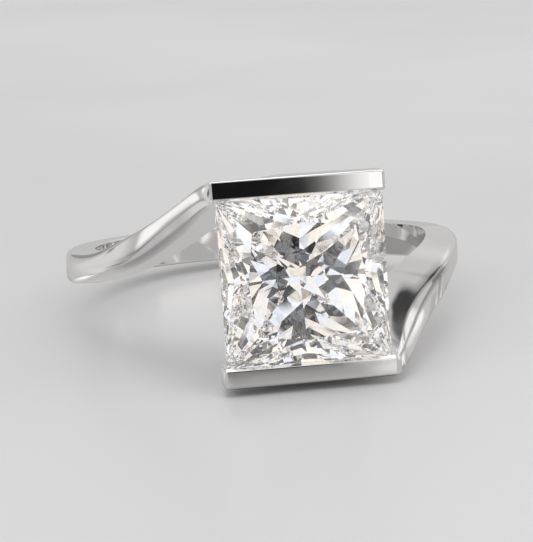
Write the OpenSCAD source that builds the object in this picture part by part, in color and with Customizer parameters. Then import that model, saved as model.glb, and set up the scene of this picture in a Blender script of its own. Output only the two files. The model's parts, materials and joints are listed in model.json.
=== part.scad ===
// Bypass ring with a square stone held between two straight bezel bars.
// The ring lies on its side as it rests on a table: Z is up, the head faces -Y
// and looks up a little, because the lower bar reaches lower than the band.
// Each half of the metal is the other half turned half round about the head's axis.

/* [Finger hole] */
// Diameter of the round hole for the finger, 16.5 mm is a common ladies' size
finger_d = 16.5; // [16.3:0.1:16.7]

/* [Stone] */
// Side of the square stone
stone_size = 7.2; // [7.1:0.05:7.3]
// Height of the girdle above the centre of the finger hole
head_height = 13.4; // [13.3:0.05:13.6]
// Half width of the table at the middle of its sides, as a share of half the stone
table_mid = 0.70; // [0.66:0.01:0.74]
// Place of the table's corners, as a share of half the stone
table_corner = 0.62; // [0.60:0.01:0.65]
// Height of the crown, as a share of the stone's side
crown_share = 0.10; // [0.08:0.01:0.12]
// Thickness of the girdle, as a share of the stone's side
girdle_share = 0.03; // [0.02:0.005:0.04]
// Depth of the pavilion, as a share of the stone's side
pavilion_share = 0.57; // [0.55:0.005:0.575]

/* [Bezel bars] */
// Length of each bar along the stone
bar_length = 7.56; // [7.5:0.02:7.7]
// Height of each bar, seen from the front
bar_height = 0.95; // [0.85:0.05:1]
// How far the front of the bars stands before the middle of the girdle
bar_stand = 0.30; // [0.25:0.01:0.35]
// Depth of a bar at its free end
bar_depth = 1.35; // [1.2:0.05:1.5]
// How far each bar's lip reaches over the edge of the stone
lip_cover = 0.05; // [0.04:0.01:0.08]
// Clearance between the stone and its seat
seat_gap = 0.02; // [0.01:0.005:0.03]

/* [Bridge] */
// Width of the bridge that joins both shoulders under the stone
bridge_width = 1.0; // [0.8:0.1:1.2]
// Thickness of the bridge
bridge_thick = 0.7; // [0.6:0.05:0.75]

/* [Hidden] */

bore_r = finger_d / 2;
half = stone_size / 2;
front = head_height + bar_stand;
corner_x = 3.81;
bar_end = bar_length - corner_x;
lip_z = half - lip_cover;
bar_top = lip_z + bar_height;
corner_angle = atan2(corner_x, front);
corner_r = norm([corner_x, front]);

// The bar's section: the height of the front face's inner edge above the lip,
// and the depth of the small bevel between that edge and the stone
bevel_rise = 0.13;
bevel_depth = 0.13;

// The shoulder and the band, one row for each section from the bar to the back.
// Columns: angle from the head; radius and height of the top outer edge, of the
// first crease and of the second crease; inner radius; height of the lower and
// of the upper inner edge; rounding of the top outer edge and of the creases.
SECTIONS = [
  //angle top r   top z   cr1 r   cr1 z   cr2 r   cr2 z  in r    low z  high z   top crease
  [ 18.0,  13.83,   4.29,  13.39,   3.73,  13.34,    3.27,  8.75,    2.48,   3.28,  0.13,  0.03],
  [ 20.7,  13.42,   3.87,  12.80,   3.39,  12.62,    2.89,  8.35,    2.17,   3.03,  0.13,  0.03],
  [ 24.9,  12.66,   3.35,  11.99,   2.90,  11.68,    2.40,  7.95,    1.71,   2.66,  0.13,  0.04],
  [ 30.0,  11.95,   2.83,  11.29,   2.37,  11.01,    1.89,  7.95,    1.26,   2.33,  0.13,  0.05],
  [ 35.0,  11.43,   2.42,  10.85,   1.81,  10.73,    1.37,  7.95,    0.88,   2.06,  0.14,  0.06],
  [ 40.0,  11.03,   2.08,  10.70,   1.20,  10.71,    0.91,  7.95,    0.56,   1.83,  0.16,  0.08],
  [ 45.0,  10.68,   1.79,  10.56,   0.77,  10.60,    0.55,  7.95,    0.29,   1.62,  0.18,  0.12],
  [ 50.0,  10.40,   1.54,  10.36,   0.62,  10.40,    0.26,  7.95,    0.04,   1.44,  0.22,  0.18],
  [ 56.0,  10.14,   1.27,  10.14,   0.47,  10.15,    0.02,  7.95,   -0.16,   1.26,  0.26,  0.24],
  [ 64.0,   9.90,   1.05,   9.93,   0.36,   9.90,   -0.21,  7.95,   -0.35,   1.07,  0.30,  0.30],
  [ 74.0,   9.76,   0.97,   9.80,   0.22,   9.76,   -0.46,  7.95,   -0.59,   0.98,  0.34,  0.34],
  [ 90.0,   9.70,   0.95,   9.76,   0.12,   9.70,   -0.73,  7.95,   -0.81,   0.95,  0.38,  0.38],
  [120.0,   9.74,   0.97,   9.82,   0.08,   9.74,   -0.83,  7.95,   -0.85,   0.97,  0.40,  0.40],
  [150.0,   9.80,   0.95,   9.89,   0.04,   9.80,   -0.87,  7.95,   -0.87,   0.95,  0.42,  0.42],
  [180.0,   9.84,  0.905,   9.94,   0.00,   9.84,  -0.905,  7.95,  -0.905,  0.905,  0.42,  0.42],
];
CORNER = [corner_angle, corner_r, bar_top, corner_r, lip_z + bevel_rise,
          corner_r - bevel_depth, lip_z, 9.30, 2.62, 3.50, 0.13, 0.03];

// Steps of the mesh
steps_bar = 4;
steps_corner = 4;
steps_row = 4;
steps_round = 2;
corner_soft = 0.10;

// The same section on the other half, read in the same order
function turned(s) = [360 - s[0], s[5], -s[6], s[3], -s[4], s[1], -s[2],
                      s[7], -s[9], -s[8], s[11], s[10]];

// A smooth run through the rows: a uniform cubic B-spline that starts at the corner
rows = concat([CORNER, CORNER, CORNER], SECTIONS, [turned(SECTIONS[len(SECTIONS) - 2])]);
row_count = len(rows);
function spline(i, f) = (pow(1 - f, 3) * rows[i] + (3 * pow(f, 3) - 6 * f * f + 4) * rows[i + 1]
  + (-3 * pow(f, 3) + 3 * f * f + 3 * f + 1) * rows[i + 2] + pow(f, 3) * rows[i + 3]) / 6;

// One corner of a section rounded from its two neighbours
function toward(a, b, reach) = a + (b - a) * min(reach / max(norm(b - a), 0.001), 0.45);
function rounded(a, b, c, reach) = let (s = toward(b, a, reach), e = toward(b, c, reach))
  [for (k = [0 : steps_round]) let (t = k / steps_round)
    (1 - t) * (1 - t) * s + 2 * t * (1 - t) * b + t * t * e];

// A ring of points: inner top, top outer edge, two creases, inner low
function ring(p, soft_top, soft_crease) = concat([p[0]],
  rounded(p[0], p[1], p[2], soft_top),
  rounded(p[1], p[2], p[3], soft_crease),
  rounded(p[2], p[3], p[4], soft_crease), [p[4]]);

// A ring of the shoulder or the band, on a plane through the finger hole's axis
function polar(a, r, z) = [-r * sin(a), -r * cos(a), z];
function shank_ring(s) = ring([polar(s[0], s[7], s[9]), polar(s[0], s[1], s[2]),
  polar(s[0], s[3], s[4]), polar(s[0], s[5], s[6]), polar(s[0], s[7], s[8])], s[10], s[11]);

// A ring of the bar, where x is its place along the front face. Past the middle
// the bar deepens and its underside comes down to meet the shoulder.
in_depth_corner = front - CORNER[7] * cos(corner_angle);
function bar_inner(x) = let (u = (bar_end - x) / (bar_end + corner_x))
  bar_depth + (in_depth_corner - bar_depth) * (0.35 * u + 0.65 * pow(u, 4));
function bar_drop(x, total) = x > 0 ? 0 : total * pow(-x / corner_x, 2.5);
function bar_point(x, dy, z) = [x > 0 ? x : x * (front - dy) / front, dy - front, z];
function bar_ring(x) = ring([
  bar_point(x, bar_inner(x), bar_top - bar_drop(x, bar_top - CORNER[9])),
  bar_point(x, 0, bar_top),
  bar_point(x, 0, lip_z + bevel_rise),
  bar_point(x, bevel_depth, lip_z),
  bar_point(x, bar_inner(x), lip_z - bar_drop(x, lip_z - CORNER[8]))], CORNER[10], CORNER[11]);

// Half of the band: the bar from its free end, the rounded corner, the shoulder
// and the band to the middle of the back
bar_to = corner_soft - corner_x;
bar_rings = [for (k = [0 : 3 * steps_bar]) let (u = k / (3 * steps_bar))
  bar_ring(bar_end + (bar_to - bar_end) * u * (1.4 - 0.4 * u))];
first_f = 0.75;
corner_a = bar_rings[len(bar_rings) - 1];
corner_b = shank_ring(CORNER);
corner_c = shank_ring(spline(0, first_f));
corner_rings = [for (k = [1 : steps_corner - 1]) let (t = k / steps_corner)
  (1 - t) * (1 - t) * corner_a + 2 * t * (1 - t) * corner_b + t * t * corner_c];
shank_rings = concat([corner_c], [for (i = [1 : row_count - 4]) for (k = [0 : steps_row - 1])
  shank_ring(spline(i, k / steps_row))]);
half_rings = concat(bar_rings, corner_rings, shank_rings);
back_ring = shank_ring(spline(row_count - 4, 1));

function reversed(list) = [for (i = [len(list) - 1 : -1 : 0]) list[i]];
function half_round(ring_points) = [for (p = reversed(ring_points)) [-p[0], p[1], -p[2]]];
all_rings = concat(half_rings, [back_ring], [for (r = reversed(half_rings)) half_round(r)]);

// A closed skin over rings of equal length, with flat ends
module skin(rings) {
  n = len(rings[0]);
  last = (len(rings) - 1) * n;
  polyhedron(points = [for (r = rings) for (p = r) p], faces = concat(
    [[for (i = [n - 1 : -1 : 0]) i]],
    [for (j = [0 : len(rings) - 2]) for (i = [0 : n - 1]) let (a = j * n + i, b = j * n + (i + 1) % n)
      [a, b, b + n, a + n]],
    [[for (i = [0 : n - 1]) last + i]]), convexity = 10);
}

// The stone in the ring's own frame: across X, up Z, its table towards -Y.
// grow makes the same form larger all over, for the seat. The chevrons are the
// points where each pair of pavilion facets meets, from the girdle to the culet:
// their distance from the middle and their depth, both as shares. Four flat
// kites close the pavilion at the culet. Each has its outer point on a diagonal.
KITE = [0.28, 0.747];
kite_arm = 0.127;
CHEVRONS = [[0.84, 0.22], [0.66, 0.45], [0.48, 0.64], [0.30, 0.80],
            [kite_arm, 1 - kite_arm * (1 - KITE[1]) / (2 * KITE[0])]];
chevron_count = len(CHEVRONS);
girdle_half = girdle_share * stone_size / 2;
table_y = girdle_half + crown_share * stone_size;
culet_y = girdle_half + pavilion_share * stone_size;
function quarter(k, a, b, y) = let (q = k % 4)
  [q == 0 ? a : q == 1 ? -b : q == 2 ? -a : b, -head_height - y, q == 0 ? b : q == 1 ? a : q == 2 ? -b : -a];
function gem_points(grow) = let (h = half + grow) concat(
  [for (k = [0 : 3]) for (c = [[table_mid, 0], [table_corner, table_corner]])
    quarter(k, c[0] * h, c[1] * h, table_y + grow)],
  [for (k = [0 : 3]) quarter(k, h, h, girdle_half + grow)],
  [for (k = [0 : 3]) quarter(k, h, h, -girdle_half - grow)],
  [for (k = [0 : 3]) for (c = CHEVRONS)
    quarter(k, c[0] * h, 0, -girdle_half - grow - c[1] * (culet_y - girdle_half))],
  [for (k = [0 : 3]) quarter(k, KITE[0] * h, KITE[0] * h, -girdle_half - grow - KITE[1] * (culet_y - girdle_half))],
  [quarter(0, 0, 0, -culet_y - grow)]);
module gem(grow = 0) {
  upper = 8;
  lower = upper + 4;
  keel = lower + 4;
  kite = keel + 4 * chevron_count;
  tip = kite + 4;
  polyhedron(points = gem_points(grow), faces = concat(
    [[for (i = [7 : -1 : 0]) i]],
    [for (k = [0 : 3]) let (next = upper + k, before = upper + (k + 3) % 4) each [
      [2 * k, next, before],
      [2 * k, 2 * k + 1, next],
      [2 * k + 1, (2 * k + 2) % 8, next],
      [next, next + 4, before + 4, before]]],
    [for (k = [0 : 3]) let (g = lower + k, b = lower + (k + 3) % 4, c = keel + k * chevron_count,
      last = c + chevron_count - 1, q = kite + k, r = kite + (k + 3) % 4) each concat(
      [[g, c, b]],
      [for (i = [0 : chevron_count - 3]) each [[g, c + i + 1, c + i], [b, c + i, c + i + 1]]],
      [[g, q, last - 1], [b, last - 1, r], [q, last, last - 1], [r, last - 1, last]],
      [[q, tip, last], [r, last, tip]])]), convexity = 4);
}

// The bridge under the stone: a strap of the ring's own curve that runs aslant
// from one shoulder to the other across the edge of the finger hole
bridge_end = [2.9, 2.75];
module bridge() {
  intersection() {
    cylinder(h = 2 * bar_top, r = bore_r + bridge_thick, center = true, $fn = 96);
    rotate([0, atan2(bridge_end[1], bridge_end[0]), 0]) translate([0, -bore_r, 0])
      cube([2 * norm(bridge_end), 4, bridge_width], center = true);
  }
}

// How the ring lies: tipped back until the lower bar and the back of the band
// both touch the table, then set over the origin
soft_back = 0.1;
contact_y = front + 9.9 - 2 * soft_back;
contact_z = (bar_top - 0.04) - (0.905 - soft_back);
rest_tip = atan2(contact_z, contact_y);
function tipped(p) = [p[0], p[1] * cos(rest_tip) + p[2] * sin(rest_tip), p[2] * cos(rest_tip) - p[1] * sin(rest_tip)];
tipped_points = concat([for (r = all_rings) for (p = r) tipped(p)], [for (p = gem_points(0)) tipped(p)]);
low_z = min([for (p = tipped_points) p[2]]);
front_y = min([for (p = tipped_points) p[1]]);
back_y = max([for (p = tipped_points) p[1]]);
module at_rest() {
  translate([0, -(front_y + back_y) / 2, -low_z]) rotate([-rest_tip, 0, 0]) children();
}

module band() {
  color("gainsboro") at_rest() difference() {
    union() {
      skin(all_rings);
      bridge();
    }
    cylinder(h = 4 * bar_top, r = bore_r, center = true, $fn = 96);
    gem(grow = seat_gap);
  }
}

module stone() {
  color("aliceblue") at_rest() gem();
}

band();
stone();
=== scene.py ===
# %% [markdown]
# # A bypass ring with a square stone between two bars
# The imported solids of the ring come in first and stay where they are. Every
# piece below is worked out in the same place and the same size, in metres,
# so the dressed ring fits the solids without any fitting by eye.

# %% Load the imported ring
import json
import bpy
import numpy as np
from mathutils import Matrix, Vector


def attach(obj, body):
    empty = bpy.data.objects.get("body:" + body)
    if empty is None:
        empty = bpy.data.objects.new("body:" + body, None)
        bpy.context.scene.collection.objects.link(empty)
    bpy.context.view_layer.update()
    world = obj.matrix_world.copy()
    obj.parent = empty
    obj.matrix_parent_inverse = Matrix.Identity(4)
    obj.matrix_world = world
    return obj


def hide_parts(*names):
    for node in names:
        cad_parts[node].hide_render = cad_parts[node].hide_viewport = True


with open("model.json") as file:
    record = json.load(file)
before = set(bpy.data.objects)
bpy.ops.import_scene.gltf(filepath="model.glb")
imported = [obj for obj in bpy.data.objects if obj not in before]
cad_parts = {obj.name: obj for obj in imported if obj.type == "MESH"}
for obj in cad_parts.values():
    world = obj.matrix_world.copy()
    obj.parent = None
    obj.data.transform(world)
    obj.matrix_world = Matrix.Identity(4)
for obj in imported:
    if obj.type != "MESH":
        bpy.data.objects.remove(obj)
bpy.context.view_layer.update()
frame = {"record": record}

# %% [markdown]
# ## The ring's own frame
# A goldsmith thinks of a ring from the middle of the finger hole: across the
# finger, out to the stone, and along the finger. All shapes are worked out in
# that frame, in millimetres, and are then laid on the table as the ring lies
# there, tipped back on the lower bar and the back of the band. The record
# gives the hole's middle and its axis, so the lie is read from there.

# %% From the ring's frame to the table
hole = frame["record"]["mounts"][0]
finger_r = hole["dims"]["r_mm"]
hole_axis = np.array(hole["axis"]) / np.linalg.norm(hole["axis"])
tip = np.arctan2(hole_axis[1], hole_axis[2])
laid = np.array([[1, 0, 0], [0, np.cos(tip), np.sin(tip)], [0, -np.sin(tip), np.cos(tip)]])


def on_table(points):
    """Ring frame in mm to the table in metres: turned by the tip about X, then moved to the hole's middle."""
    return np.asarray(points) @ laid.T * 0.001 + hole["pos_m"]


print("the ring is tipped back by", round(float(np.degrees(tip)), 2), "degrees")

# %% [markdown]
# ## The camera
# The view was found by fitting about forty points and edges of the ring: a
# long lens close to a small thing, a little to the left of the stone's own
# axis and a little above it, and slightly rolled.

# %% Camera
view_turn, view_rise, view_roll = np.radians([-7.5786, 5.1610, -3.8671])
view_distance = 90.02         # mm from the middle of the finger hole
pixels_per_mm = 19.914        # at that distance
aim_px = (261.28, 254.15)     # where the middle of the finger hole falls in the image
image_px = (533, 542)
sensor_mm = 36

toward = np.array([np.sin(view_turn) * np.cos(view_rise), -np.cos(view_turn) * np.cos(view_rise),
                   np.sin(view_rise)])
level = np.array([np.cos(view_turn), np.sin(view_turn), 0])
upward = np.cross(toward, level)
right = np.cos(view_roll) * level + np.sin(view_roll) * upward
above = np.cos(view_roll) * upward - np.sin(view_roll) * level

camera = bpy.data.objects.new("camera", bpy.data.cameras.new("camera"))
bpy.context.scene.collection.objects.link(camera)
turned_axes = Matrix((laid @ np.stack([right, above, toward], 1)).tolist())
camera.matrix_world = Matrix.Translation(Vector(on_table(toward * view_distance))) @ turned_axes.to_4x4()
lens = camera.data
lens.sensor_fit = "HORIZONTAL"
lens.sensor_width = sensor_mm
lens.lens = sensor_mm * pixels_per_mm * view_distance / image_px[0]
lens.shift_x = (image_px[0] / 2 - aim_px[0]) / image_px[0]
lens.shift_y = (aim_px[1] - image_px[1] / 2) / image_px[0]
lens.clip_start = 0.001
lens.clip_end = 20
bpy.context.scene.camera = camera
bpy.context.scene.view_settings.view_transform = "Standard"
print("lens", round(lens.lens, 1), "mm, shift", round(lens.shift_x, 4), round(lens.shift_y, 4))

# %% [markdown]
# ## Shader sums written as sums
# A finish is mostly arithmetic on masks. This small class wraps one output of
# a node, so that a mask can be written as `1 - a * b`, and each expression
# adds the Math nodes for it. Every other node comes from `add`, and a few
# that come back often have a short name of their own.


# %% A signal
class Signal:
    """One number output of a shader node, with the usual signs for sums, differences and products."""

    def __init__(self, bench, output):
        self.bench, self.output = bench, output

    def __add__(self, other): return self.bench.math("ADD", self, other)
    def __radd__(self, other): return self.bench.math("ADD", other, self)
    def __sub__(self, other): return self.bench.math("SUBTRACT", self, other)
    def __rsub__(self, other): return self.bench.math("SUBTRACT", other, self)
    def __mul__(self, other): return self.bench.math("MULTIPLY", self, other)
    def __rmul__(self, other): return self.bench.math("MULTIPLY", other, self)


# %% The bench that signals are made on
class Bench:
    """The node tree of one material, or of the world, with one way to add a node to it."""

    def __init__(self, tree):
        self.tree = tree
        tree.nodes.clear()

    def add(self, kind, settings=None, values=None):
        """Adds a node: its settings are set first, then the values or links of its sockets."""
        node = self.tree.nodes.new(kind)
        for name, setting in (settings or {}).items():
            setattr(node, name, setting)
        for key, value in (values or {}).items():
            value = value.output if isinstance(value, Signal) else value
            if isinstance(value, bpy.types.NodeSocket):
                self.tree.links.new(value, node.inputs[key])
            else:
                node.inputs[key].default_value = value
        return node

    def math(self, operation, *values):
        """One Math node on signals or plain numbers."""
        node = self.add("ShaderNodeMath", {"operation": operation}, dict(enumerate(values)))
        return Signal(self, node.outputs[0])

    def parts(self, vector):
        """The three numbers of a vector."""
        node = self.add("ShaderNodeSeparateXYZ", values={0: vector})
        return [Signal(self, number) for number in node.outputs]

    def noise(self, place, scale, detail, roughness=0.5):
        """A cloudy pattern between 0 and 1 at a place."""
        node = self.add("ShaderNodeTexNoise", values={"Vector": place, "Scale": scale, "Detail": detail,
                                                      "Roughness": roughness})
        return Signal(self, node.outputs["Fac"])

    def step(self, value, low, high, first=0.0, last=1.0):
        """A smooth step of value from first at low to last at high."""
        node = self.add("ShaderNodeMapRange", {"interpolation_type": "SMOOTHSTEP"},
                        {"Value": value, "From Min": low, "From Max": high, "To Min": first, "To Max": last})
        return Signal(self, node.outputs[0])

    def window(self, value, low, high, soft):
        """1 from low to high, 0 outside: a step up times a step down, each `soft` wide to both sides."""
        return self.step(value, low - soft, low + soft) * self.step(value, high - soft, high + soft, 1.0, 0.0)

    def blend(self, factor, first, second):
        """A colour that goes from first to second with factor."""
        node = self.add("ShaderNodeMix", {"data_type": "RGBA"}, {0: factor, 6: first, 7: second})
        return node.outputs[2]

    def scaled(self, vector, share):
        """A colour or vector made stronger or weaker by a number."""
        node = self.add("ShaderNodeVectorMath", {"operation": "SCALE"}, {0: vector, "Scale": share})
        return node.outputs[0]

    def moved(self, vector, by):
        """A place moved aside, which gives a noise another pattern of the same kind."""
        node = self.add("ShaderNodeVectorMath", {"operation": "ADD"}, {0: vector, 1: (by, 0.7 * by, -by)})
        return node.outputs[0]


def new_finish(name):
    """A new material and the bench for its nodes."""
    material = bpy.data.materials.new(name)
    material.use_nodes = True
    return material, Bench(material.node_tree)


# %% [markdown]
# ## The studio
# Polished metal shows nothing but what stands around it, so the studio is
# where its looks are made. A pale tent hangs round the table. A dark card
# stands near the camera: the upper bar mirrors it as a black band that clears
# to white toward its right end. The other cards and lamps were placed the same
# way, by following the line of sight to a face of the ring and off it again,
# to see where a light or a dark edge has to stand. They could be lamps and
# boards in the scene, but drawn in the world by direction they cost no light
# samples, cast no shadows of their own and get edges as soft as needed.

# %% Directions in the tent
world = bpy.data.worlds.new("studio")
bpy.context.scene.world = world
world.use_nodes = True
studio = Bench(world.node_tree)

direction = studio.add("ShaderNodeTexCoord").outputs["Generated"]
east, north, height = studio.parts(direction)
bearing = studio.math("ARCTAN2", east, 0 - north) * (180 / np.pi)     # 0 at the camera, + to its right hand
behind = studio.math("WRAP", bearing, 360.0, 0.0)                     # counted on past 180, behind the ring
rise = studio.math("ARCSINE", height) * (180 / np.pi)


def panel(bearing_from, bearing_to, rise_from, rise_to, soft_bearing, soft_rise):
    """A soft-edged window in the tent, in degrees: one window over the bearing times one over the rise."""
    at = behind if bearing_to > 180 else bearing
    return studio.window(at, bearing_from, bearing_to, soft_bearing) * \
        studio.window(rise, rise_from, rise_to, soft_rise)


def lit(light, mask, change):
    """The light changed where mask is 1: a positive change is added, a negative one takes that share away."""
    return light + change * mask if change > 0 else light * (1 + change * mask)


# %% Tent, cards and lamps
# columns: bearing from and to, rise from and to, softness of both, and the change of the light
panels = [
    (-13, 10.1, -0.5, 26, 1.3, 2, -0.985),       # dark card that the upper bar mirrors
    (10.6, 19.8, -8, 75, 1, 6, 0.53),            # strip lamp to the right of the camera
    (26, 54, -7, 10, 2, 4, -0.24),               # greyer edge of the tent, low at the right
    (-62, -18, -8, 4, 4, 2.5, -0.25),            # and low at the left
    (103.4, 117, -2, 12.6, 2.2, 2.4, -0.33),     # grey card low at the right
    (118, 129, -8, 30, 4.2, 7, 0.38),            # upright strip lamp at the right
    (110, 124, 15.2, 20.8, 3, 2.4, 0.32),        # level strip lamp beside it
    (101, 123, 21, 40, 2.5, 3, -0.18),           # grey card above that one
    (132, 156, 46.6, 54.4, 6, 2.6, 0.48),        # small lamp high at the right
    (148, 168, 20, 44, 8, 7, 0.28),              # lamp behind at the right
    (150, 180.1, 41.6, 60.5, 2.3, 1.5, -0.9),    # dark card behind, for the dark foot of the right shoulder
    (190, 221, -5, 9, 4, 3, -0.5),               # dark edge of the tent, low behind at the left
    (28, 80, 20, 62, 6, 6, 0.75),                # big lamp at the right, in front
    (-84, -26, 24, 58, 6, 6, 0.65),              # big lamp at the left, in front
    (-26, 24, 34, 50, 4, 4, -0.75),              # gap between the two
]
tent_light, overhead_light = 0.615, 0.9
light = tent_light + overhead_light * studio.step(rise, 55, 80)
for *edges, change in panels:
    light = lit(light, panel(*edges), change)
print(len(panels), "cards and lamps in the tent")

# %% [markdown]
# ## What the stone gathers
# A cut stone breaks its surroundings into small bright and dark pieces. In a
# calm tent it would look like grey glass, while the metal needs that calm. A
# room full of small lamps could do it, at a cost in time and noise. Instead
# the light that has come through the stone finds its own surroundings: bright
# and dark patches of a noise, warm and cool by turns, and the dark of the
# viewer where the stone looks back. The eye itself sees a plain grey backdrop.

# %% Sparkle and backdrop
backdrop = (0.70, 0.70, 0.70, 1)
warm_light, cool_light = (1.0, 0.915, 0.82, 1), (0.86, 0.90, 1.0, 1)
dim = 0.1                     # light of the dark patches


def off_white(bench, amount):
    """An amount of light as a colour with a trace less green and blue."""
    node = bench.add("ShaderNodeCombineXYZ", values={0: amount, 1: 0.992 * amount, 2: 0.99 * amount})
    return node.outputs[0]


def warm_and_cool(bench, amount, hues):
    """An amount of light as a colour that turns from cool to warm with a noise."""
    return bench.scaled(bench.blend(bench.step(hues, 0.42, 0.58), cool_light, warm_light), amount)


patches = studio.noise(studio.moved(direction, 6.2), 8.0, 1.0)
viewer = panel(-12, 12, -12, 24, 3, 3)
glint = (dim + 1.24 * studio.step(patches, 0.43, 0.48)) * (1 - 0.86 * viewer)
sparkle = warm_and_cool(studio, glint, studio.noise(studio.moved(direction, 11.2), 5.0, 1.0))

rays = studio.add("ShaderNodeLightPath").outputs
gathered = studio.blend(rays["Is Transmission Ray"], off_white(studio, light), sparkle)
shade = studio.blend(rays["Is Camera Ray"], gathered, backdrop)
air = studio.add("ShaderNodeBackground", values={"Color": shade, "Strength": 1.0})
studio.add("ShaderNodeOutputWorld", values={"Surface": air.outputs[0]})
print("the studio has", len(world.node_tree.nodes), "nodes")

# %% [markdown]
# ## The table top
# The ring lies on pale polished stone. A plain disc is enough, because it is
# far out of focus in the view: it needs only its tone, a slow uneven cloud in
# it, and a soft gloss that catches the tent.


# %% Disc
def disc_mesh(name, radius, rings, spokes):
    """A flat disc: rings of points at radius times the share outwards squared, and one in the middle."""
    share = (np.arange(1, rings + 1) / rings)[:, None] ** 2
    angle = np.linspace(0, 2 * np.pi, spokes, endpoint=False)[None]
    grid = np.stack([radius * share * np.cos(angle), radius * share * np.sin(angle), 0 * share * angle], -1)
    i, j = np.meshgrid(np.arange(rings - 1), np.arange(spokes), indexing="ij")
    a, b = i * spokes + j, i * spokes + (j + 1) % spokes
    quads = np.stack([a, a + spokes, b + spokes, b], -1).reshape(-1, 4)
    first = np.arange(spokes)
    fan = np.stack([first, (first + 1) % spokes, np.full(spokes, rings * spokes)], -1)
    points = np.vstack([grid.reshape(-1, 3), [[0, 0, 0]]])
    mesh = bpy.data.meshes.new(name)
    mesh.from_pydata(points.tolist(), [], quads.tolist() + fan.tolist())
    mesh.update()
    return mesh


table_top = bpy.data.objects.new("table_top", disc_mesh("table_top", 1.5, 24, 96))
bpy.context.scene.collection.objects.link(table_top)
print("table top of", len(table_top.data.vertices), "points")

# %% [markdown]
# ## What the ring sees of the table
# The sides of the shoulders and of the lower bar face down, so they mirror the
# table close by, where the ring's own shade and the light between its parts
# lie. Those soft lights and darks are drawn as for the tent, each at the place
# that a face mirrors, and only mirrored light finds them: to the eye the table
# stays plain. To light from the stone it shows bright and dark patches again.

# %% Lights and darks on the table
pale_top, bench = new_finish("pale_table")
place = bench.add("ShaderNodeTexCoord").outputs["Object"]
x_mm, y_mm = (1000 * number for number in bench.parts(place)[:2])
nearer = 0 - y_mm                                                     # mm toward the camera
aside = bench.math("ARCTAN2", x_mm, nearer) * (180 / np.pi)           # bearing, 0 toward the camera
to_right = bench.step(aside, 10.2, 11.8)


def spot(x_from, x_to, y_from, y_to, soft_x, soft_y):
    """A soft-edged rectangle on the table, in mm: one window over x times one over y."""
    return bench.window(x_mm, x_from, x_to, soft_x) * bench.window(y_mm, y_from, y_to, soft_y)


# columns: x from and to, y from and to, softness of both, and the change of the light
spots = [
    (-10.9, -5.4, -9.8, -4, 1.5, 0.9, 0.52),     # light in front of the left shoulder
    (-15.7, -11.3, 1.6, 5.3, 1.9, 1.3, 0.67),    # light between stone and shoulder
    (-27, -17.5, -8, -4.5, 1.5, 0.6, 0.42),      # light beside the crisp corner
    (-57, -17.5, -6, 15, 5, 1.7, 0.2),           # paler at the far left
    (-3.5, 4, -12.2, -7, 0.6, 0.5, -0.85),       # dark under the lower bar
    (-52, -29.5, 4.4, 11.6, 1.5, 1, -0.8),       # dark sliver at the crisp corner
    (-5, 3, -60, -10, 3, 1.4, -0.36),            # dark in front of the lower bar
    (-11, 3, 7.8, 13, 1.2, 1.2, -0.4),           # dark under the back of the band
    (15.5, 51, -1.5, 3.4, 1.2, 1, -0.55),        # dark beside the ring
]
table_light = 0.54
glow = table_light + 0.3 * spot(18, 200, -300, -50, 4, 10) * to_right             # paler at the front right
for *edges, change in spots:
    glow = lit(glow, spot(*edges), change)
in_front = (1 - to_right) * bench.step(aside, -3, 1)
glow = glow * (1 - 0.25 * bench.step(nearer, 60, 90) * in_front)                  # greyer toward the camera
under_card = (1 - to_right) * bench.step(aside, -14, -11)
glow = glow * (1 - 0.95 * bench.step(nearer, 380, 520) * under_card)              # dark below the dark card
print(len(spots), "lights and darks on the table")

# %% Pale table
cloud = bench.step(bench.noise(place, 14.0, 3.0), 0.35, 0.65)
pale = bench.blend(cloud, (0.76, 0.76, 0.76, 1), (0.84, 0.84, 0.842, 1))
plain = bench.add("ShaderNodeBsdfPrincipled", values={"Base Color": pale, "Roughness": 0.3, "IOR": 1.45})

glint = dim + 1.05 * bench.step(bench.noise(place, 70.0, 3.0), 0.445, 0.5)
sparkle = warm_and_cool(bench, glint, bench.noise(bench.moved(place, 0.4), 50.0, 2.0))
rays = bench.add("ShaderNodeLightPath").outputs
in_metal, in_stone = (Signal(bench, rays[kind]) for kind in ("Is Glossy Ray", "Is Transmission Ray"))
shown = bench.blend(in_stone, off_white(bench, glow), sparkle)
drawn = bench.add("ShaderNodeEmission", values={"Color": shown, "Strength": 1.0})
top = bench.add("ShaderNodeMixShader", values={0: bench.math("MAXIMUM", in_metal, in_stone),
                                               1: plain.outputs[0], 2: drawn.outputs[0]})
bench.add("ShaderNodeOutputMaterial", values={"Surface": top.outputs[0]})
table_top.data.materials.append(pale_top)
print("its finish has", len(pale_top.node_tree.nodes), "nodes")

# %% [markdown]
# ## The band and the bars
# Bars, shoulders and band are cast as one piece. It starts at the free end of
# the upper bar, turns a crisp corner, runs down the shoulder, round the back
# and up the other side to the lower bar. Turned half round about the stone's
# axis it looks the same, so only one half is drawn. It could be built from
# bars and bevels, but the shoulder's two creases fade into the round band,
# and that is easier as a skin: a five-cornered section carried along the way,
# whose corners are rounded by a radius that grows toward the back.

# %% Measures of the bars
stone_side = 7.2              # the square stone
girdle_out = 13.4             # from the hole's middle to the stone's widest plane
front = girdle_out + 0.30     # to the flat front of the bars
corner_x = 3.81               # from the middle to the crisp corner
free_x = 7.56 - corner_x      # from the middle to the free end
lip = stone_side / 2 - 0.05   # height of the bar's inner side, which laps over the stone
bar_top = lip + 0.95
bevel_rise, bevel_depth = 0.13, 0.13
bar_depth = 1.35
corner_soft = 0.10            # how far before the crisp corner its curve begins
end_round = 0.15
print("the bars are", round(free_x + corner_x, 2), "mm long and", round(bar_top - lip, 2), "mm high")

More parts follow.
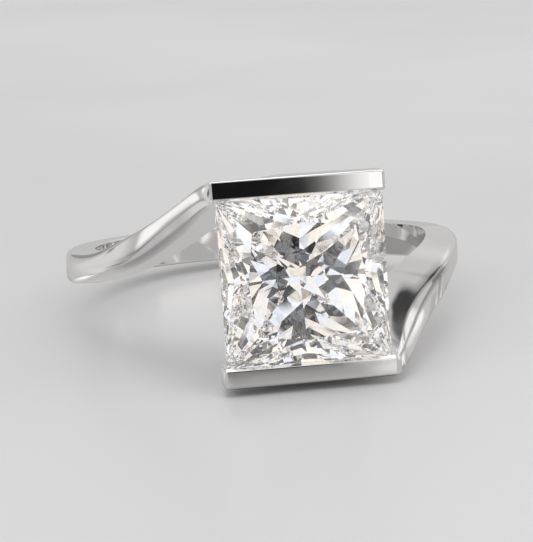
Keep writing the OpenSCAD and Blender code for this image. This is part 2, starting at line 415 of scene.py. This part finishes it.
# %% Measures of the shoulder and the band
# columns: angle from the head; radius and height of the outer edge, of the first and of the second crease;
# inner radius; height of the lower and of the upper inner edge; rounding of outer edge and creases
names = "angle edge_r edge_z first_r first_z second_r second_z in_r low_z high_z soft_edge soft_crease"
column = {name: k for k, name in enumerate(names.split())}
sections = np.array([
    [18.0, 13.83, 4.29, 13.39, 3.73, 13.34, 3.27, 8.75, 2.48, 3.28, 0.13, 0.03],
    [20.7, 13.42, 3.87, 12.80, 3.39, 12.62, 2.89, 8.35, 2.17, 3.03, 0.13, 0.03],
    [24.9, 12.66, 3.35, 11.99, 2.90, 11.68, 2.40, 7.95, 1.71, 2.66, 0.13, 0.04],
    [30.0, 11.95, 2.83, 11.29, 2.37, 11.01, 1.89, 7.95, 1.26, 2.33, 0.13, 0.05],
    [35.0, 11.43, 2.42, 10.85, 1.81, 10.73, 1.37, 7.95, 0.88, 2.06, 0.14, 0.06],
    [40.0, 11.03, 2.08, 10.70, 1.20, 10.71, 0.91, 7.95, 0.56, 1.83, 0.16, 0.08],
    [45.0, 10.68, 1.79, 10.56, 0.77, 10.60, 0.55, 7.95, 0.29, 1.62, 0.18, 0.12],
    [50.0, 10.40, 1.54, 10.36, 0.62, 10.40, 0.26, 7.95, 0.04, 1.44, 0.22, 0.18],
    [56.0, 10.14, 1.27, 10.14, 0.47, 10.15, 0.02, 7.95, -0.16, 1.26, 0.26, 0.24],
    [64.0, 9.90, 1.05, 9.93, 0.36, 9.90, -0.21, 7.95, -0.35, 1.07, 0.30, 0.30],
    [74.0, 9.76, 0.97, 9.80, 0.22, 9.76, -0.46, 7.95, -0.59, 0.98, 0.34, 0.34],
    [90.0, 9.70, 0.95, 9.76, 0.12, 9.70, -0.73, 7.95, -0.81, 0.95, 0.38, 0.38],
    [120.0, 9.74, 0.97, 9.82, 0.08, 9.74, -0.83, 7.95, -0.85, 0.97, 0.40, 0.40],
    [150.0, 9.80, 0.95, 9.89, 0.04, 9.80, -0.87, 7.95, -0.87, 0.95, 0.42, 0.42],
    [180.0, 9.84, 0.905, 9.94, 0.00, 9.84, -0.905, 7.95, -0.905, 0.905, 0.42, 0.42],
])
corner_r = np.hypot(corner_x, front)
corner_row = np.array([np.degrees(np.arctan2(corner_x, front)), corner_r, bar_top, corner_r,
                       lip + bevel_rise, corner_r - bevel_depth, lip, 9.30, 2.62, 3.50, 0.13, 0.03])


def across(row):
    """The same section on the other half: its angle from the other side, heights and edges turned over."""
    angle, edge_r, edge_z, first_r, first_z, second_r, second_z, in_r, low_z, high_z, edge, crease = row
    return np.array([360 - angle, second_r, -second_z, first_r, -first_z, edge_r, -edge_z,
                     in_r, -high_z, -low_z, crease, edge])


rows = np.vstack([corner_row, corner_row, corner_row, sections, across(sections[-2])])
print(len(rows), "sections from the crisp corner to the middle of the back")


# %% The five corners of a section
def along_rows(t):
    """A uniform cubic B-spline over the rows, at t counted in rows: the four nearest rows, weighted."""
    i = np.minimum(t.astype(int), len(rows) - 4)
    f = (t - i)[:, None]
    weights = [(1 - f) ** 3, 3 * f ** 3 - 6 * f ** 2 + 4, -3 * f ** 3 + 3 * f ** 2 + 3 * f + 1, f ** 3]
    return sum(weights[k] * rows[i + k] for k in range(4)) / 6


def polar(angle, radius, height_z):
    """A point at an angle from the head, a radius from the hole's axis and a height along it."""
    a = np.radians(angle)
    return np.stack([-radius * np.sin(a), -radius * np.cos(a), height_z + 0 * a], -1)


def shank_corners(s):
    """A row's five corners: inner top, outer edge, first crease, second crease, inner low."""
    def at(radius, height_z):
        return polar(s[:, column["angle"]], s[:, column[radius]], s[:, column[height_z]])
    return np.stack([at("in_r", "high_z"), at("edge_r", "edge_z"), at("first_r", "first_z"),
                     at("second_r", "second_z"), at("in_r", "low_z")], 1)


def bar_corners(x, inset):
    """The bar's five corners at x along its front. It deepens and its back drops toward the shoulder, slowly
    at first and faster at the corner; inset draws the section in, to round the free end."""
    in_r, low_z, high_z = (corner_row[column[name]] for name in ("in_r", "low_z", "high_z"))
    share = (free_x - x) / (free_x + corner_x)
    past = np.clip(-x / corner_x, 0, None) ** 2.5
    corner_depth = front - in_r * np.cos(np.radians(corner_row[0]))
    depth = bar_depth + (corner_depth - bar_depth) * (0.35 * share + 0.65 * share ** 4)

    def point(back, z):
        slanted = np.where(x > 0, x, x * (front - back) / front)
        return np.stack([slanted, back - front + 0 * x, z + 0 * x], -1)
    return np.stack([point(depth - inset, bar_top - inset - (bar_top - high_z) * past),
                     point(inset, bar_top - inset),
                     point(inset, lip + bevel_rise + 0.3 * inset),
                     point(bevel_depth + 0.3 * inset, lip + inset),
                     point(depth - inset, lip + inset - (lip - low_z) * past)], 1)


def to_hole(outer, inner):
    """Draws the inner corner back along its side until it lies on the finger hole's wall."""
    r_out, r_in = np.hypot(outer[:, 0], outer[:, 1]), np.hypot(inner[:, 0], inner[:, 1])
    share = np.clip((r_out - finger_r) / np.maximum(r_out - r_in, 1e-6), 0, 1)[:, None]
    return outer + (inner - outer) * share


# %% [markdown]
# ## Along the way
# The sections stand close together where the way bends and where it turns the
# crisp corner. Filing and polishing don't leave a shoulder as flat as a
# drawing: its sides roll over before they meet the second crease, the side
# next to the stone stays crowned, and so do the outer faces, by a few
# hundredths of a millimetre. A mirror shows even that, because a crowned face
# gathers a wide piece of the studio into a soft band of light.

# %% Half of the way
side_roll = (0.75, 0.15)      # mm, left and right: how early a side rolls over to its second crease
side_belly = (0.0, 0.2)       # mm, left and right: how far those sides are crowned, next to the stone
face_crown = 0.03             # mm: how far the shoulders' outer faces are crowned
inner_soft_bar, inner_soft_band = 0.12, 0.07     # rounding of the inner edges
edge_soft, crease_soft = corner_row[[column["soft_edge"], column["soft_crease"]]]


def share_of(value, start, end):
    """How far value has come from start to end, from 0 to 1."""
    return np.clip((value - start) / (end - start), 0, 1)


def smooth(t):
    """0 below 0, 1 above 1, and an even S between."""
    t = np.clip(t, 0, 1)
    return t * t * (3 - 2 * t)


def half_way(per_row=10, bar_steps=16, corner_steps=10, end_steps=6, first_steps=12, first_t=0.9):
    """Corners and roundings of the sections from the free end to the middle of the back: the rounded end, the
    bar with its steps closer toward the corner, the crisp corner as a quadratic curve, then the spline over
    the rows. Roll, belly and crown fade in and out with the angle from the head."""
    phi = np.linspace(np.pi / 2, 0, end_steps + 1)
    end_x, end_inset = free_x - end_round + end_round * np.sin(phi), end_round * (1 - np.cos(phi))
    u = np.linspace(0, 1, bar_steps + 1)[1:]
    start = free_x - end_round
    bar_x = start + (corner_soft - corner_x - start) * (1.3 * u - 0.3 * u * u)
    inset = np.concatenate([end_inset, 0 * bar_x])
    bar = bar_corners(np.concatenate([end_x, bar_x]), inset)

    peak, after = (shank_corners(row)[0] for row in (corner_row[None], along_rows(np.array([first_t]))))
    t = np.linspace(0, 1, corner_steps + 1)[1:-1, None, None]
    corner = (1 - t) ** 2 * bar[-1] + 2 * t * (1 - t) * peak + t ** 2 * after

    spans = len(rows) - 3
    t = np.concatenate([np.linspace(first_t, 2, first_steps, endpoint=False),
                        np.linspace(2, spans, (spans - 2) * per_row + 1)])
    t[-1] = spans - 1e-9                         # the last section still counts to the last span
    s = along_rows(t)
    points = np.concatenate([bar, corner, shank_corners(s)])
    points[:, 0] = to_hole(points[:, 1], points[:, 0])
    points[:, 4] = to_hole(points[:, 3], points[:, 4])

    inset = np.concatenate([inset, np.zeros(len(corner))])
    outer = np.concatenate([edge_soft - 0.3 * inset, s[:, column["soft_edge"]]])
    crease = np.concatenate([crease_soft + 0 * inset, s[:, column["soft_crease"]]])
    shrinking = (inner_soft_bar - inner_soft_band) * np.exp(first_t - t)
    inner = np.concatenate([inner_soft_bar - 0.3 * inset, inner_soft_band + shrinking])

    angle = np.concatenate([0 * inset, s[:, column["angle"]]])
    roll = share_of(angle, 17, 25) * share_of(angle, 66, 44)
    belly = share_of(angle, 14, 18) * smooth(share_of(angle, 38, 24))
    crowned = smooth(share_of(angle, 16, 19)) * smooth(share_of(angle, 70, 50))
    return points, outer, crease, inner, roll, belly, crowned


# %% The other half turned round
def whole_way():
    """The half, then the same half turned half round about the head's axis: X and Z change sign, and the
    order turns. Roll, belly and crown come out for the left and for the right shoulder."""
    points, outer, crease, inner, roll, belly, crowned = half_way()

    def both(here, there):
        return np.concatenate([here, there[:-1][::-1]])
    corners = np.concatenate([points, points[:-1][::-1, ::-1] * np.array([-1, 1, -1])])
    inside = both(inner, inner)
    soft = [inside, both(outer, crease), both(crease, crease), both(crease, outer), inside]
    amounts = ((roll, side_roll), (belly, side_belly), (crowned, (face_crown, face_crown)))
    sides = [[both(left * v, 0 * v), both(0 * v, right * v)] for v, (left, right) in amounts]
    return corners, soft, *sides


print(len(whole_way()[0]), "sections all the way round")

# %% [markdown]
# ## The skin
# Each corner becomes a short arc and each side a strip of points, and the
# strips of all sections together are one grid with no seams. The grid carries
# a second value: how sharp the edge is at each point, which sets how dark a
# line of painted shade along the edges is. At last the whole skin is taken in
# a little, as the polish wears the casting down.


# %% Arcs, sides and crowned sides
def rounded(a, b, c, before, after, steps):
    """Corner b between a and c as a conic arc from `before` towards a to `after` towards c: with the sine of
    half the corner's angle as its weight, and both equal, it is a circle's arc."""
    def on_side(p, q, reach):
        d = q - p
        n = np.linalg.norm(d, axis=-1, keepdims=True)
        return p + d * np.minimum(reach[..., None] / np.maximum(n, 1e-6), 0.45)
    lengths = np.linalg.norm(a - b, axis=-1) * np.linalg.norm(c - b, axis=-1)
    cosine = np.sum((a - b) * (c - b), -1) / (lengths + 1e-12)
    w = np.sqrt(np.clip((1 - cosine) / 2, 1e-4, 1))[:, None, None]
    t = np.linspace(0, 1, steps + 1)[None, :, None]
    start, mid, end = on_side(b, a, before)[:, None], b[:, None], on_side(b, c, after)[:, None]
    w_start, w_mid, w_end = (1 - t) ** 2, 2 * w * t * (1 - t), t * t
    return (w_start * start + w_mid * mid + w_end * end) / (w_start + w_mid + w_end)


def flat_side(a, b):
    """Points along a flat side, two of them close to its ends, which keeps its shading flat."""
    share = np.array([0.03, 0.2, 0.5, 0.8, 0.97])[None, :, None]
    return a[:, None] + (b - a)[:, None] * share


def crown(grid, start, end, lift, depth=0.3):
    """Lifts the points over the side from start to end by lift times 4 u (1 - u), u being the share of the
    way between the two, square to that side and away from the section's middle. Points deeper stay."""
    side = end - start
    length_2 = np.sum(side * side, -1)[:, None]
    out = (start + end) / 2 - grid.mean(1)
    out -= side * (np.sum(out * side, -1)[:, None] / length_2)
    out /= np.linalg.norm(out, axis=-1, keepdims=True)
    near = np.sum((grid - start[:, None]) * out[:, None], -1) > -depth
    u = np.clip(np.sum((grid - start[:, None]) * side[:, None], -1) / length_2, 0, 1)
    return grid + (lift[:, None] * 4 * u * (1 - u) * near)[..., None] * out[:, None]


# %% The grid of the skin
def band_skin(fine_steps=8, rim=0.6):
    """The grid along the way and round the section, by its five arcs and five sides, and how far each point
    lies on a sharp edge, which weighs the painted shade along the edges: 1 on the crest of an edge, rim at
    both ends of its arc, 0 on sides and bars."""
    points, soft, roll, belly, crowned = whole_way()
    p = [points[:, k] for k in range(5)]
    steps = [4, fine_steps, fine_steps, fine_steps, 4]
    before, after = list(soft), list(soft)
    before[1], after[3] = soft[1] + roll[1], soft[3] + roll[0]
    arcs = [rounded(p[k - 1], p[k], p[(k + 1) % 5], before[k], after[k], steps[k]) for k in range(5)]

    off_bar = smooth((front + points[:, 2, 1] - 0.35) / 0.3)          # 0 on the bars, 1 on the shoulders
    sharp = [smooth((0.2 - soft[k]) / 0.12) * off_bar * (k in (1, 2, 3)) for k in range(5)]
    strips, shade_lines = [], []
    for k in range(5):
        strips += [arcs[k], flat_side(arcs[k][:, -1], arcs[(k + 1) % 5][:, 0])]
        crest = rim + (1 - rim) * np.sin(np.linspace(0, np.pi, steps[k] + 1))
        side_line = np.zeros((len(points), 5))
        side_line[:, 0], side_line[:, -1] = rim * sharp[k], rim * sharp[(k + 1) % 5]
        shade_lines += [sharp[k][:, None] * crest, side_line]

    grid = np.concatenate(strips, 1)
    for start, end, lift in ((4, 3, belly[0]), (0, 1, belly[1]), (1, 2, crowned[0]), (3, 2, crowned[1])):
        grid = crown(grid, p[start], p[end], lift)
    return grid, np.concatenate(shade_lines, 1)


skin, edge_shade_weight = band_skin()
print("band skin", skin.shape[0], "sections of", skin.shape[1], "points")


# %% Polished down
def grid_normals(grid):
    """Outward directions of the skin, from the differences between neighbours along and round it."""
    along = np.gradient(grid, axis=0)
    round_it = np.roll(grid, -1, 1) - np.roll(grid, 1, 1)
    n = np.cross(round_it, along)
    n /= np.maximum(np.linalg.norm(n, axis=-1, keepdims=True), 1e-9)
    return n * np.sign(np.sum(n * (grid - grid.mean(1, keepdims=True)), -1).mean())


polish = 0.012                # mm of metal that polishing takes off the casting
off_hole = np.hypot(skin[..., 0], skin[..., 1]) > finger_r + 0.02
skin = skin - grid_normals(skin) * polish * off_hole[..., None]
print("it reaches from", skin.reshape(-1, 3).min(0).round(3), "to", skin.reshape(-1, 3).max(0).round(3))

# %% [markdown]
# ## The bridge
# Under the stone a plain strap joins both shoulders, so that they can't
# spread. It follows the edge of the finger hole and runs aslant, because one
# shoulder is high and the other is low. A bent bar would do, but then its
# inner face would not follow the round of the hole.


# %% Bridge
def bridge_grid(width=1.0, thick=0.7, half_length=3.99, soft=0.12, stations=40, drop=2.75, reach=2.9,
                taken_in=0.98):
    """A rounded rectangle, its sides across the strap and out from the hole, carried along a line that drops
    by `drop` over `reach`: the depth of each point is the height of the hole's cylinder over its X."""
    slant = np.arctan2(drop, reach)
    quarter = np.linspace(0, np.pi / 2, 5)
    across_it, outward = width / 2 - soft, thick / 2 - soft
    w = np.concatenate([sign * across_it + soft * np.cos(quarter + k * np.pi / 2)
                        for k, sign in enumerate([1, -1, -1, 1])])
    r = np.concatenate([sign * outward + soft * np.sin(quarter + k * np.pi / 2)
                        for k, sign in enumerate([1, 1, -1, -1])])
    s = np.linspace(-half_length, half_length, stations)[:, None]
    x = s * np.cos(slant) + w * np.sin(slant)
    z = -s * np.sin(slant) + w * np.cos(slant)
    radius = finger_r + thick / 2 + r[None] * taken_in
    return np.stack([x, -np.sqrt(radius ** 2 - x ** 2), z], -1)


bridge = bridge_grid()
print("bridge of", bridge.shape[0], "sections,", bridge.shape[1], "points each")

# %% [markdown]
# ## From grids to metal
# Band and bridge are closed shells in one mesh, since on the real ring they
# are one casting. Faces are kept in arrays, one for each number of corners,
# and the volume that they enclose tells whether they point outwards.


# %% Closed pieces
def closed_tube(grid):
    """Faces of a grid whose rows are closed rings: quads between neighbours, one flat face at each end."""
    m, n = grid.shape[:2]
    i, j = np.meshgrid(np.arange(m - 1), np.arange(n), indexing="ij")
    a, b = i * n + j, i * n + (j + 1) % n
    quads = np.stack([a, b, b + n, a + n], -1).reshape(-1, 4)
    ends = np.stack([np.arange(n)[::-1], (m - 1) * n + np.arange(n)])
    return [quads, ends]


def signed_volume(points, faces):
    """Six times the volume inside, by the fans of all faces: negative where the faces point inwards."""
    return sum(np.sum(points[same[:, 0]] * np.cross(points[same[:, k]], points[same[:, k + 1]]))
               for same in faces for k in range(1, same.shape[1] - 1))


def make_piece(name, shells, soft_shading=True):
    """Joins closed shells, each its points and its arrays of faces, into one mesh that faces outwards."""
    all_points, all_faces, count = [], [], 0
    for points, faces in shells:
        points = on_table(points)
        order = -1 if signed_volume(points, faces) < 0 else 1
        for same in faces:
            all_faces += (same[:, ::order] + count).tolist()
        all_points.append(points)
        count += len(points)
    mesh = bpy.data.meshes.new(name)
    mesh.from_pydata(np.vstack(all_points).tolist(), [], all_faces)
    mesh.validate()
    mesh.polygons.foreach_set("use_smooth", np.full(len(mesh.polygons), soft_shading))
    mesh.update()
    piece = bpy.data.objects.new(name, mesh)
    bpy.context.scene.collection.objects.link(piece)
    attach(piece, "root")
    return piece


# %% Band and bars
band = make_piece("band_and_bars", [(grid.reshape(-1, 3), closed_tube(grid)) for grid in (skin, bridge)])
# how dark a line of painted shade each point of the band gets along the sharp edges
painted_edge_shade = band.data.attributes.new("painted_edge_shade", "FLOAT", "POINT")
painted_edge_shade.data.foreach_set("value", np.concatenate([edge_shade_weight.ravel(), np.zeros(bridge[..., 0].size)]))
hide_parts("band")
print("band and bars:", len(band.data.polygons), "faces")

# %% [markdown]
# ## The polish
# White gold after the last buffing: a mirror with a very slight warmth, and
# cloudy spots of a slightly softer gloss. A plain mirror would look like
# chrome plate. Along the shoulders' sharp edges a thin dark line is painted
# into the colour, painted shade that stands in for the dark lines those edges
# mirror, and the gloss there is rougher. It could be found from the mesh by a
# bevel or a pointiness node, but the skin already knows where its edges are,
# so it carries the line as a value on its points.

# %% Polished white gold
polished, bench = new_finish("polished_white_gold")
place = bench.add("ShaderNodeTexCoord").outputs["Object"]
haze = bench.noise(place, 900.0, 4.0, 0.55)
line = Signal(bench, bench.add("ShaderNodeAttribute", {"attribute_name": "painted_edge_shade"}).outputs["Fac"])
tint = bench.blend(bench.step(haze, 0.3, 0.7), (0.86, 0.845, 0.835, 1), (0.885, 0.875, 0.868, 1))
# painted shade: along the sharp edges the colour turns dark grey for the dark lines those edges mirror, and
# the gloss is rougher there
tint = bench.blend(0.8 * line, tint, (0.30, 0.295, 0.30, 1))
softness = 0.035 + 0.03 * bench.step(haze, 0.35, 0.75) + 0.15 * line
metal = bench.add("ShaderNodeBsdfPrincipled", values={
    "Base Color": tint, "Metallic": 1.0, "Roughness": softness})
bench.add("ShaderNodeOutputMaterial", values={"Surface": metal.outputs[0]})
band.data.materials.append(polished)
print("the polish has", len(polished.node_tree.nodes), "nodes")

# %% [markdown]
# ## The stone
# A square stone with a flat table, a low crown and a deep pavilion. Its
# pavilion is cut in chevrons: long facets that fan out from the middle of each
# side to the corners. Four flat kites close it at the culet, one on each
# diagonal, and it is their mirror images in each other that make the star of
# narrow rays. The stone could be cut from a cube with planes, but the corners
# follow from a few shares, so they are worked out for one side and turned.


# %% Stone
def square_stone(table_mid=0.70, table_corner=0.62, crown=0.10, girdle=0.03, pavilion=0.57,
                 kite=0.28, kite_depth=0.747, kite_arm=0.127,
                 chevrons=((0.84, 0.22), (0.66, 0.45), (0.48, 0.64), (0.30, 0.80))):
    """Corners and faces of the stone by quarter turns of one side: the table's two points, the girdle's
    corner above and below, the kite's outer point on the diagonal, and the points of the chevrons on the
    side's middle line. Shares are of half the side across, and of the side in depth (crown, girdle and
    pavilion). The last point on the middle line lies on the plane through the culet and the kite's outer
    point, so that the kites are flat."""
    half = stone_side / 2
    rim = girdle * stone_side / 2
    top_y, culet_y = rim + crown * stone_side, rim + pavilion * stone_side
    keel = list(chevrons) + [(kite_arm, 1 - kite_arm * (1 - kite_depth) / (2 * kite))]

    def sunk(depth):
        return -rim - depth * (culet_y - rim)
    one = np.array([[table_mid * half, 0, top_y], [table_corner * half, table_corner * half, top_y],
                    [half, half, rim], [half, half, -rim], [kite * half, kite * half, sunk(kite_depth)]]
                   + [[share * half, 0, sunk(depth)] for share, depth in keel])
    n = len(one)
    turns = [np.array([[np.cos(a), -np.sin(a), 0], [np.sin(a), np.cos(a), 0], [0, 0, 1]])
             for a in np.arange(4) * np.pi / 2]
    flat = np.vstack([one @ turn.T for turn in turns] + [[[0, 0, -culet_y]]])
    points = np.stack([flat[:, 0], -girdle_out - flat[:, 2], flat[:, 1]], -1)

    culet, last = 4 * n, n - 1
    faces = [[k * n + c for k in range(4) for c in (0, 1)]]
    for k in range(4):
        here, nxt, prev = k * n, (k + 1) % 4 * n, (k + 3) % 4 * n
        faces += [[here, prev + 2, here + 2], [here, here + 2, here + 1], [here + 1, here + 2, nxt],
                  [prev + 2, prev + 3, here + 3, here + 2], [prev + 3, here + 5, here + 3]]
        for i in range(5, last - 1):
            faces += [[here + 3, here + i, here + i + 1], [prev + 3, here + i + 1, here + i]]
        faces += [[here + 3, here + last - 1, here + 4], [prev + 3, prev + 4, here + last - 1],
                  [here + 4, here + last - 1, here + last], [prev + 4, here + last, here + last - 1],
                  [nxt + last, here + 4, here + last, culet]]
    return points, [np.array([f for f in faces if len(f) == corners]) for corners in (8, 3, 4)]


stone = make_piece("square_stone", [square_stone()], soft_shading=False)
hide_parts("stone")
print("stone:", len(stone.data.polygons), "facets")

# %% [markdown]
# ## The clear stone
# A diamond bends light more than any glass, and a trace of warmth and coolness
# drifts through its body. Light runs to and fro between its facets many times
# before it comes out, and each of those turns counts as a bounce: with too
# few of them allowed, some facets would end in black specks.

# %% Clear diamond
clear, bench = new_finish("clear_diamond")
place = bench.add("ShaderNodeTexCoord").outputs["Object"]
hue = bench.blend(bench.noise(place, 250.0, 2.0), (0.985, 0.99, 1.0, 1), (1.0, 0.99, 0.975, 1))
glass = bench.add("ShaderNodeBsdfPrincipled", values={
    "Base Color": hue, "Roughness": 0.0, "IOR": 2.417, "Transmission Weight": 1.0})
bench.add("ShaderNodeOutputMaterial", values={"Surface": glass.outputs[0]})
stone.data.materials.append(clear)

cycles = bpy.context.scene.cycles
cycles.max_bounces = 48
cycles.glossy_bounces = 40
cycles.transmission_bounces = 24
cycles.caustics_reflective = True
cycles.caustics_refractive = True
print("light may turn", cycles.glossy_bounces, "times inside the stone")
